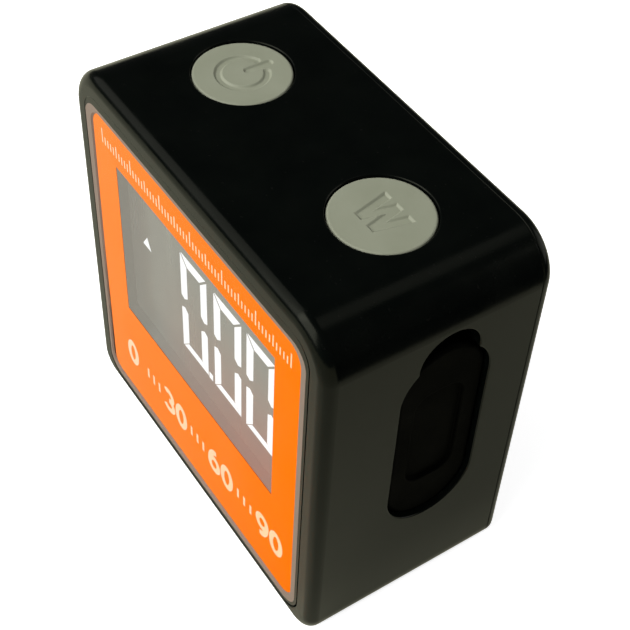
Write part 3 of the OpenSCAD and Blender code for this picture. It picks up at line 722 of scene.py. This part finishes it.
def numeral(kind, x, z, w, h):
    """A numeral's strokes on its box: 0 is a ring, 3 two open bows, 6 a ring with a bow, 9 a turned 6."""
    def bow(cx, cz, rx, rz, start, stop):
        """An arc of an ellipse from one angle to another."""
        t = np.linspace(math.radians(start), math.radians(stop), 41)
        return np.stack([cx + rx * np.cos(t), cz + rz * np.sin(t)], -1)
    if kind == "0":
        paths = [bow(0.5, 0.5, 0.5, 0.5, 0, 360)]
    elif kind == "3":
        paths = [bow(0.44, 0.745, 0.46, 0.255, 150, -86), bow(0.42, 0.255, 0.56, 0.255, 86, -150)]
    else:
        paths = [bow(0.5, 0.31, 0.5, 0.31, 0, 360), bow(0.78, 0.34, 0.78, 0.66, 92, 182)]
        paths = paths if kind == "6" else [1 - path for path in paths]
    return [np.array([x, z]) + path * np.array([w, h]) for path in paths]


def ribbon_plate(path, width, y_front, y_back):
    """A stroke as a thin bar: the rectangle of its width and thickness carried along the path."""
    ring = np.allclose(path[0], path[-1])
    along = np.gradient(path, axis=0)
    if ring:
        along[0] = along[0] + along[-1]
        path, along = path[:-1], along[:-1]
    aside = np.stack([-along[:, 1], along[:, 0]], -1) / np.linalg.norm(along, axis=1)[:, None] * width / 2
    left, right = path + aside, path - aside
    n = len(path)
    corner = [np.stack([side[:, 0], np.full(n, y), side[:, 1]], -1)
              for side, y in ((left, y_front), (right, y_front), (right, y_back), (left, y_back))]
    points = np.stack(corner, 1).reshape(-1, 3)
    if ring:
        return points, (np.array(tube_faces(n + 1, 4)) % (4 * n)).tolist()
    return points, tube_faces(n, 4) + [[0, 1, 2, 3], [4 * n - 4, 4 * n - 3, 4 * n - 2, 4 * n - 1]]


def tick_piece(face):
    """The scale above the window, longer at each fifth and tenth tick, and dashes between the numbers."""
    count, left, right, base, half = 61, -15.2, 15.2, 33.55, 0.085
    long, medium, short = 1.6, 1.25, 0.85
    dash_x, dash_z, dash_half = (-1.1, 0, 1.1), (7.3, 8.6), 0.16
    number = np.arange(count)
    tall = np.where(number % 10 == 0, long, np.where(number % 5 == 0, medium, short))
    x = np.linspace(left, right, count)
    ticks = [box_outline(c - half, c + half, base, base + t) for c, t in zip(x, tall)]
    for gap in np.array([-1, 0, 1]) * NUMBER_PITCH:
        ticks += [box_outline(gap + c - dash_half, gap + c + dash_half, *dash_z) for c in dash_x]
    points, faces = prism_set(ticks, face - MARK_T, face - MARK_LIFT)
    new_piece("scale_ticks", points, faces, "case", MARK)


def number_piece(face):
    """The numbers below the window; each second stroke lies a hair deeper, so that no two share a face."""
    wide, tall, space, stroke, foot = 1.55, 2.7, 0.75, 0.66, 6.6
    strokes = []
    for label, place in (("0", -1.5), ("30", -0.5), ("60", 0.5), ("90", 1.5)):
        start = place * NUMBER_PITCH - (len(label) * (wide + space) - space) / 2
        for i, kind in enumerate(label):
            strokes += numeral(kind, start + i * (wide + space), foot, wide, tall)
    all_points, all_faces, count = [], [], 0
    for i, path in enumerate(strokes):
        front = face - MARK_T + (i % 2) * MARK_STAGGER
        points, faces = ribbon_plate(path, stroke, front, face - MARK_LIFT)
        all_points.append(points)
        all_faces += (np.array(faces) + count).tolist()
        count += len(points)
    new_piece("scale_numbers", np.concatenate(all_points), all_faces, "case", MARK)


PRINT_FRONT = corners("face_print")[0][1]
tick_piece(PRINT_FRONT)
number_piece(PRINT_FRONT)


# Floor and backdrop

def round_floor():
    """A flat round floor: rings of growing radius carried round the axis. To mirror rays only, it shows
    painted reflections:
    a glow that grows further out, a light band at the foot of the right end and a dark patch further out."""
    around, drop = 96, 0.00002
    pale, dark_reflection_skew, foot_shine = 0.84, 0.12, 0.25
    dark_reflection_x, dark_reflection_y, foot_out, foot_in = (0.057, 0.065), (-0.01, 0.005), (0.0245, 0.0215), (0.015, 0.017)
    r = np.array([0.1, 0.4, 0.8, 1.6])
    angle = np.arange(around) * 2 * math.pi / around
    depth = np.full((len(r), around), -drop)
    ring = np.stack([r[:, None] * np.cos(angle), r[:, None] * np.sin(angle), depth], -1)
    points = np.concatenate([ring.reshape(-1, 3), [[0, 0, -drop]]])
    faces = np.flip(tube_faces(len(r), around), 1).tolist() + pole_faces(0, around, len(points) - 1)
    mesh = bpy.data.meshes.new("floor")
    mesh.from_pydata(points.tolist(), [], faces)
    obj = bpy.data.objects.new("floor", mesh)
    bpy.context.scene.collection.objects.link(obj)
    material, tree, shader = new_finish("pale floor", Roughness=1.0, Specular_IOR_Level=0.0)
    place = add(tree, "ShaderNodeTexCoord").outputs["Object"]
    split = add(tree, "ShaderNodeSeparateXYZ", {0: place})
    x, y = split.outputs[0], split.outputs[1]
    away = add(tree, "ShaderNodeVectorMath", {0: place}, operation="LENGTH").outputs["Value"]
    seen = add(tree, "ShaderNodeLightPath")
    mirrored = seen.outputs["Is Glossy Ray"]
    # Painted reflection: a dark patch on the floor that only mirror rays see.
    beyond = math_node(tree, "SUBTRACT", y, math_node(tree, "MULTIPLY", x, dark_reflection_skew))
    dark_reflection = math_node(tree, "MULTIPLY", spread(tree, x, *dark_reflection_x), spread(tree, beyond, *dark_reflection_y))
    reflected_floor = blend(tree, dark_reflection, colour(0.8, 0.8, 0.6), colour(0.01, 0.01, 0.01))
    tree.links.new(blend(tree, mirrored, colour(0.9, 0.9, 0.9), reflected_floor), shader.inputs["Base Color"])
    tree.links.new(blend(tree, mirrored, colour(1.0, 1.0, 1.0), reflected_floor), shader.inputs["Emission Color"])
    by_eye = math_node(tree, "ADD", seen.outputs["Is Camera Ray"], seen.outputs["Is Transmission Ray"], True)
    glow = math_node(tree, "MULTIPLY", by_eye, spread(tree, away, 0.12, 0.4, pale, 1.0))
    # Painted reflection: mirror rays see the floor glow more further out, and a light band at the foot of the
    # right end.
    shine = math_node(tree, "MULTIPLY", mirrored, spread(tree, away, 0.06, 0.2, 0.08, 0.4))
    foot = math_node(tree, "MULTIPLY", spread(tree, x, *foot_out), spread(tree, x, *foot_in))
    band = math_node(tree, "MULTIPLY", mirrored, math_node(tree, "MULTIPLY", foot, foot_shine))
    shine = math_node(tree, "ADD", shine, band)
    tree.links.new(math_node(tree, "ADD", glow, shine), shader.inputs["Emission Strength"])
    mesh.materials.append(material)


round_floor()


# Light

def soft_lamp(name, aim, toward, distance, size, power):
    """A square lamp that looks at a point from a direction."""
    lamp = bpy.data.lights.new(name, "AREA")
    lamp.shape = "SQUARE"
    lamp.size = size
    lamp.energy = power
    obj = bpy.data.objects.new(name, lamp)
    bpy.context.scene.collection.objects.link(obj)
    way = Vector(toward).normalized()
    obj.location = Vector(aim) + way * distance
    obj.rotation_euler = way.to_track_quat("Z", "Y").to_euler()
    obj.visible_camera = False


MIDDLE = (0.0, 0.0, 0.02)
soft_lamp("front lamp", MIDDLE, (-0.1, -0.76, 0.66), 0.6, 0.55, 4.2)
soft_lamp("left lamp", MIDDLE, (-0.57, -0.5, 0.65), 0.6, 0.5, 1.1)
soft_lamp("top lamp", MIDDLE, (0.12, 0.42, 0.9), 0.7, 0.25, 0.14)
soft_lamp("back lamp", MIDDLE, (0.4, 0.86, 0.3), 0.7, 0.5, 1.3)


def dim_room():
    """A world that is white to the eye and gives little light."""
    world = bpy.data.worlds.new("dim room")
    bpy.context.scene.world = world
    world.use_nodes = True
    tree = world.node_tree
    room = tree.nodes["Background"]
    room.inputs["Color"].default_value = colour(1.0, 1.0, 1.0)
    seen = add(tree, "ShaderNodeLightPath")
    by_eye = math_node(tree, "ADD", seen.outputs["Is Camera Ray"], seen.outputs["Is Transmission Ray"], True)
    tree.links.new(spread(tree, by_eye, 0.0, 1.0, 0.05, 1.0), room.inputs["Strength"])


dim_room()


# Camera

def photo_camera():
    """Camera at the photograph's place: turned round the object, raised, rolled and set off its axis."""
    azimuth, elevation, roll = math.radians(54.099), math.radians(47.259), 0.058
    distance, aside, lift, focal_px, frame_px = 124.128, 1.892, -0.350, 1352.496, 630
    level = math.cos(elevation)
    back = Vector((math.sin(azimuth) * level, -math.cos(azimuth) * level, math.sin(elevation)))
    right = Vector((math.cos(azimuth), math.sin(azimuth), 0))
    up = back.cross(right)
    middle = Vector((0, 0, (cad_box[1][2] - cad_box[0][2]) / 2 / MM))
    place = (middle + back * distance + right * aside + up * lift) * MM
    turned_right = right * math.cos(roll) + up * math.sin(roll)
    turned_up = up * math.cos(roll) - right * math.sin(roll)
    camera = bpy.data.cameras.new("photo camera")
    camera.sensor_width = 36
    camera.lens = focal_px / frame_px * camera.sensor_width
    camera.clip_start = 0.005
    obj = bpy.data.objects.new("photo camera", camera)
    bpy.context.scene.collection.objects.link(obj)
    turn = Matrix((turned_right, turned_up, back)).transposed()
    obj.matrix_world = Matrix.Translation(place) @ turn.to_4x4()
    bpy.context.scene.camera = obj


photo_camera()
bpy.context.scene.view_settings.view_transform = "Standard"
